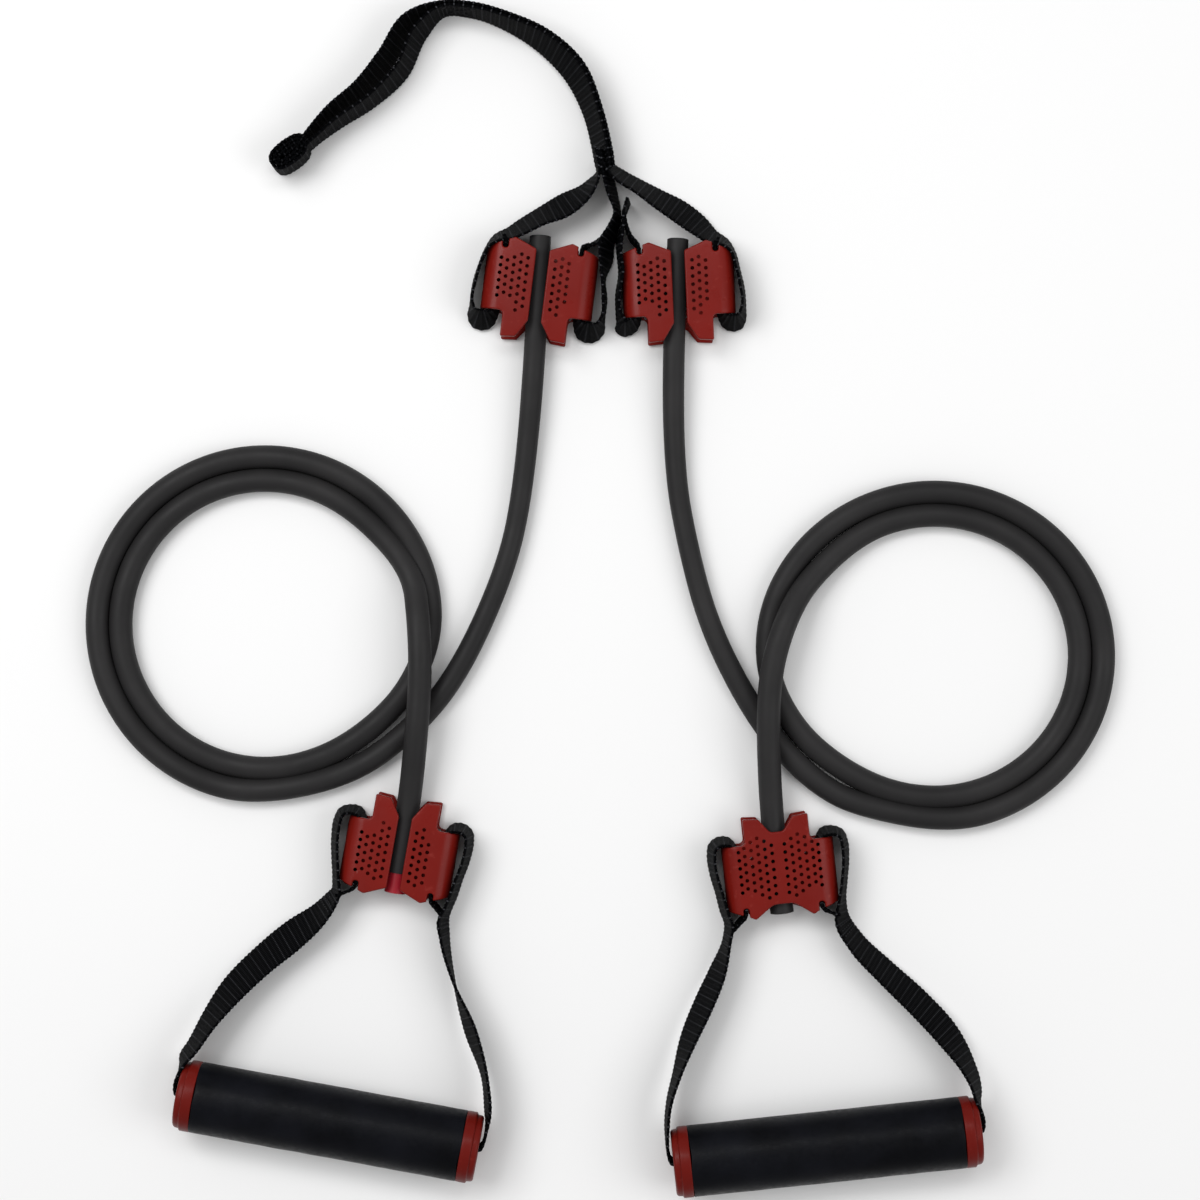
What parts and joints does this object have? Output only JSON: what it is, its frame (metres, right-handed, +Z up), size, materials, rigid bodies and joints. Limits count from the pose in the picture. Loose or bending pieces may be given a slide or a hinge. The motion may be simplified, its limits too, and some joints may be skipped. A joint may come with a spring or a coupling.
{
  "type": "resistance band",
  "caption": "Resistance tube set: coiled rubber tubes with hand grips, hung in moulded cable pockets from a webbing harness with an anchor strap.",
  "frame": {"origin": "on the floor, under the middle of the harness, pockets, straps and grips", "axes": "+Y towards the anchor strap, -Y towards the grips, +Z up out of the floor the set lies on"},
  "size_m": [0.4836, 0.5594, 0.033],
  "materials": {
    "red_plastic": "satin moulded plastic, deep red",
    "cap_plastic": "satin moulded plastic, deep red",
    "plug_plastic": "bright red moulded plastic",
    "tube_rubber": "charcoal latex rubber, soft satin",
    "grip_rubber": "fine-grained blue-black rubber",
    "core_plastic": "plain black plastic",
    "webbing": "black woven polypropylene webbing",
    "thread": "black sewing thread"
  },
  "bodies": {
    "anchor_harness": {"harness_centre_left_strip": "webbing", "harness_centre_right_strip": "webbing", "harness_knot": "webbing", "harness_left_arm": "webbing", "harness_right_arm": "webbing"},
    "anchor_strap": {"anchor_inner_layer": "webbing", "anchor_outer_layer": "webbing", "stopper_core": "webbing", "stopper_wrap": "webbing"},
    "left_upper_pocket": {"left_upper_loop_a": "webbing", "left_upper_loop_b": "webbing", "left_upper_loop_stitching": "thread", "left_upper_pocket": "red_plastic"},
    "left_lower_pocket": {"left_lower_loop_a": "webbing", "left_lower_loop_b": "webbing", "left_lower_loop_stitching": "thread", "left_lower_pocket": "red_plastic"},
    "left_tube": {"left_tube_coil": "tube_rubber", "left_tube_lower_plug": "plug_plastic", "left_tube_lower_stretch": "tube_rubber", "left_tube_upper_plug": "plug_plastic", "left_tube_upper_stretch": "tube_rubber"},
    "left_strap": {"left_strap_inner_arm": "webbing", "left_strap_outer_arm": "webbing", "left_strap_through_grip": "webbing"},
    "left_grip": {"left_grip_cap_inner": "cap_plastic", "left_grip_cap_outer": "cap_plastic", "left_grip_core": "core_plastic", "left_grip_sleeve": "grip_rubber"},
    "right_upper_pocket": {"right_upper_loop_a": "webbing", "right_upper_loop_b": "webbing", "right_upper_loop_stitching": "thread", "right_upper_pocket": "red_plastic"},
    "right_lower_pocket": {"right_lower_loop_a": "webbing", "right_lower_loop_b": "webbing", "right_lower_loop_stitching": "thread", "right_lower_pocket": "red_plastic"},
    "right_tube": {"right_tube_coil": "tube_rubber", "right_tube_lower_plug": "plug_plastic", "right_tube_lower_stretch": "tube_rubber", "right_tube_upper_plug": "plug_plastic", "right_tube_upper_stretch": "tube_rubber"},
    "right_strap": {"right_strap_inner_arm": "webbing", "right_strap_outer_arm": "webbing", "right_strap_through_grip": "webbing"},
    "right_grip": {"right_grip_cap_inner": "cap_plastic", "right_grip_cap_outer": "cap_plastic", "right_grip_core": "core_plastic", "right_grip_sleeve": "grip_rubber"}
  },
  "joints": [
    {"name": "anchor_fold", "type": "hinge", "parent": "anchor_harness", "child": "anchor_strap", "pos_m": [0.0098, 0.203, 0.0095], "axis": [0.9804, 0.1971, 0], "range_deg": [-90, 90]},
    {"name": "left_upper_fold", "type": "hinge", "parent": "anchor_harness", "child": "left_upper_pocket", "pos_m": [-0.01713, 0.16821, 0.0095], "axis": [0.9925, -0.1219, 0], "range_deg": [-90, 90]},
    {"name": "left_upper_swivel", "type": "hinge", "parent": "left_upper_pocket", "child": "left_tube", "pos_m": [-0.0195, 0.1685, 0.0095], "axis": [-0.0393, -0.9992, 0], "range_deg": [-90, 90]},
    {"name": "left_lower_swivel", "type": "hinge", "parent": "left_tube", "child": "left_lower_pocket", "pos_m": [-0.0809, -0.0975, 0.0095], "axis": [-0.161, -0.987, 0], "range_deg": [-90, 90]},
    {"name": "left_strap_fold", "type": "hinge", "parent": "left_lower_pocket", "child": "left_strap", "pos_m": [-0.08921, -0.14381, 0.0095], "axis": [0.9848, -0.1736, 0], "range_deg": [-90, 90]},
    {"name": "left_grip_spin", "type": "hinge", "parent": "left_strap", "child": "left_grip", "pos_m": [-0.11785, -0.2453, 0.0165], "axis": [0.9836, -0.1805, 0], "continuous": true},
    {"name": "right_upper_fold", "type": "hinge", "parent": "anchor_harness", "child": "right_upper_pocket", "pos_m": [0.04437, 0.16788, 0.0095], "axis": [-0.999, -0.0436, 0], "range_deg": [-90, 90]},
    {"name": "right_upper_swivel", "type": "hinge", "parent": "right_upper_pocket", "child": "right_tube", "pos_m": [0.0451, 0.1671, 0.0095], "axis": [-0.0453, -0.999, 0], "range_deg": [-90, 90]},
    {"name": "right_lower_swivel", "type": "hinge", "parent": "right_tube", "child": "right_lower_pocket", "pos_m": [0.0891, -0.107, 0.0095], "axis": [0.1141, -0.9935, 0], "range_deg": [-90, 90]},
    {"name": "right_strap_fold", "type": "hinge", "parent": "right_lower_pocket", "child": "right_strap", "pos_m": [0.09512, -0.15226, 0.0095], "axis": [0.9945, 0.1045, 0], "range_deg": [-90, 90]},
    {"name": "right_grip_spin", "type": "hinge", "parent": "right_strap", "child": "right_grip", "pos_m": [0.1163, -0.25685, 0.0165], "axis": [0.9944, 0.1055, 0], "continuous": true}
  ]
}
